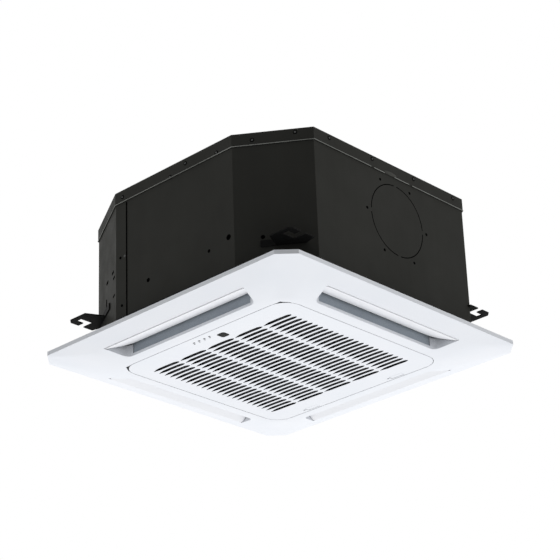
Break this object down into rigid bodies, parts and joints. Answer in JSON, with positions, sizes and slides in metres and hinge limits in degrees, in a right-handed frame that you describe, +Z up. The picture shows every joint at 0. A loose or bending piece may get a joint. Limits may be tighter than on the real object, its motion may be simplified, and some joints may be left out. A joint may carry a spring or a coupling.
{
  "type": "ceiling cassette air conditioner",
  "caption": "Square ceiling cassette indoor unit: dark metal body with hanger plates, white panel with a louvred outlet on each side and a slotted intake grille that swings down.",
  "frame": {"origin": "middle of the decorative panel, on the ceiling plane that its rim meets", "axes": "+Z up into the ceiling, -Y towards the grille's hinge and receiver side, +X to the right of it"},
  "size_m": [0.647, 0.647, 0.3193],
  "materials": {
    "panel_white": "satin",
    "casing_paint": "satin paint",
    "zinc_steel": "galvanised",
    "window_black": "gloss",
    "black_plastic": "matt",
    "seal_foam": "matt foam",
    "duct_foam": "matt foam",
    "pale_foam": "matt foam",
    "fin_aluminium": "bare",
    "copper": "bare copper",
    "brass": "bare",
    "circuit_green": "satin",
    "soft_rubber": "matt",
    "grey_plastic": "matt",
    "clear_plastic": "clear"
  },
  "bodies": {
    "unit": {"panel_frame": "panel_white", "duct_liner": "duct_foam", "swing_motor": "zinc_steel", "corner_shaft_near": "soft_rubber", "corner_shaft_right": "soft_rubber", "corner_shaft_left": "soft_rubber", "hinge_pin_left": "zinc_steel", "hinge_pin_right": "zinc_steel", "panel_seal": "seal_foam", "panel_bolt_1": "zinc_steel", "panel_bolt_2": "zinc_steel", "panel_bolt_3": "zinc_steel", "panel_bolt_4": "zinc_steel", "top_plate": "casing_paint", "casing_front": "casing_paint", "casing_rear": "casing_paint", "hanger_left": "casing_paint", "hanger_near": "casing_paint", "hanger_right": "casing_paint", "hanger_far": "casing_paint", "insulation_liner": "seal_foam", "drain_pan": "pale_foam", "bell_mouth": "grey_plastic", "coil_fins": "fin_aluminium", "coil_end_left": "copper", "coil_end_rear": "copper", "pipe_cover": "casing_paint", "gas_pipe": "copper", "liquid_pipe": "copper", "gas_flare_nut": "brass", "liquid_flare_nut": "brass", "drain_spigot": "grey_plastic", "drain_pump": "grey_plastic", "float_switch_stem": "grey_plastic", "motor_bracket": "zinc_steel", "fan_motor": "zinc_steel", "motor_bush_1": "soft_rubber", "motor_bush_2": "soft_rubber", "motor_bush_3": "soft_rubber", "control_box": "zinc_steel", "control_box_cover": "zinc_steel", "circuit_board": "circuit_green", "terminal_block": "black_plastic", "cable_gland": "black_plastic"},
    "louvre_front": {"louvre_front": "panel_white"},
    "louvre_right": {"louvre_right": "panel_white"},
    "louvre_rear": {"louvre_rear": "panel_white"},
    "louvre_left": {"louvre_left": "panel_white"},
    "motor_crank": {"motor_crank": "grey_plastic"},
    "drive_rod": {"drive_rod": "grey_plastic"},
    "grille": {"intake_grille": "panel_white", "receiver_window": "window_black", "indicator_light_guide": "clear_plastic", "display_board": "circuit_green", "air_filter": "black_plastic"},
    "latch_left": {"grille_latch_left": "panel_white"},
    "latch_right": {"grille_latch_right": "panel_white"},
    "fan": {"fan_impeller": "grey_plastic", "fan_nut": "brass"},
    "float": {"switch_float": "panel_white"}
  },
  "joints": [
    {"name": "louvre_rear_tilt", "type": "hinge", "parent": "unit", "child": "louvre_rear", "pos_m": [0, 0.28118, -0.01688], "axis": [-1, 0, 0], "range_deg": [-31, 29]},
    {"name": "louvre_front_tilt", "type": "hinge", "parent": "unit", "child": "louvre_front", "pos_m": [0, -0.28118, -0.01688], "axis": [1, 0, 0], "range_deg": [-31, 29]},
    {"name": "louvre_right_tilt", "type": "hinge", "parent": "unit", "child": "louvre_right", "pos_m": [0.28118, 0, -0.01688], "axis": [0, 1, 0], "range_deg": [-31, 29]},
    {"name": "louvre_left_tilt", "type": "hinge", "parent": "unit", "child": "louvre_left", "pos_m": [-0.28118, 0, -0.01688], "axis": [0, -1, 0], "range_deg": [-31, 29]},
    {"name": "motor_crank_turn", "type": "hinge", "parent": "unit", "child": "motor_crank", "pos_m": [-0.1905, 0.26318, -0.00788], "axis": [-1, 0, 0], "range_deg": [-31, 29]},
    {"name": "drive_rod_pivot", "type": "hinge", "parent": "louvre_rear", "child": "drive_rod", "pos_m": [-0.1905, 0.28118, -0.00788], "axis": [-1, 0, 0], "range_deg": [-29, 31]},
    {"name": "grille_hinge", "type": "hinge", "parent": "unit", "child": "grille", "pos_m": [0, -0.2085, -0.0249], "axis": [-1, 0, 0], "range_deg": [0, 60]},
    {"name": "latch_left_press", "type": "slide", "parent": "grille", "child": "latch_left", "axis": [0, 0, 1], "range_m": [0, 0.003], "stiffness_N_per_m": 300, "springref_m": -0.001},
    {"name": "latch_right_press", "type": "slide", "parent": "grille", "child": "latch_right", "axis": [0, 0, 1], "range_m": [0, 0.003], "stiffness_N_per_m": 300, "springref_m": -0.001},
    {"name": "fan_spin", "type": "hinge", "parent": "unit", "child": "fan", "pos_m": [0, 0, 0.18], "axis": [0, 0, 1], "continuous": true},
    {"name": "float_rise", "type": "slide", "parent": "unit", "child": "float", "axis": [0, 0, 1], "range_m": [0, 0.012]}
  ],
  "couplings": [
    {"joint": "louvre_front_tilt", "follows": "louvre_rear_tilt", "ratio": 1},
    {"joint": "louvre_right_tilt", "follows": "louvre_rear_tilt", "ratio": 1},
    {"joint": "louvre_left_tilt", "follows": "louvre_rear_tilt", "ratio": 1},
    {"joint": "motor_crank_turn", "follows": "louvre_rear_tilt", "ratio": 1},
    {"joint": "drive_rod_pivot", "follows": "louvre_rear_tilt", "ratio": -1}
  ]
}
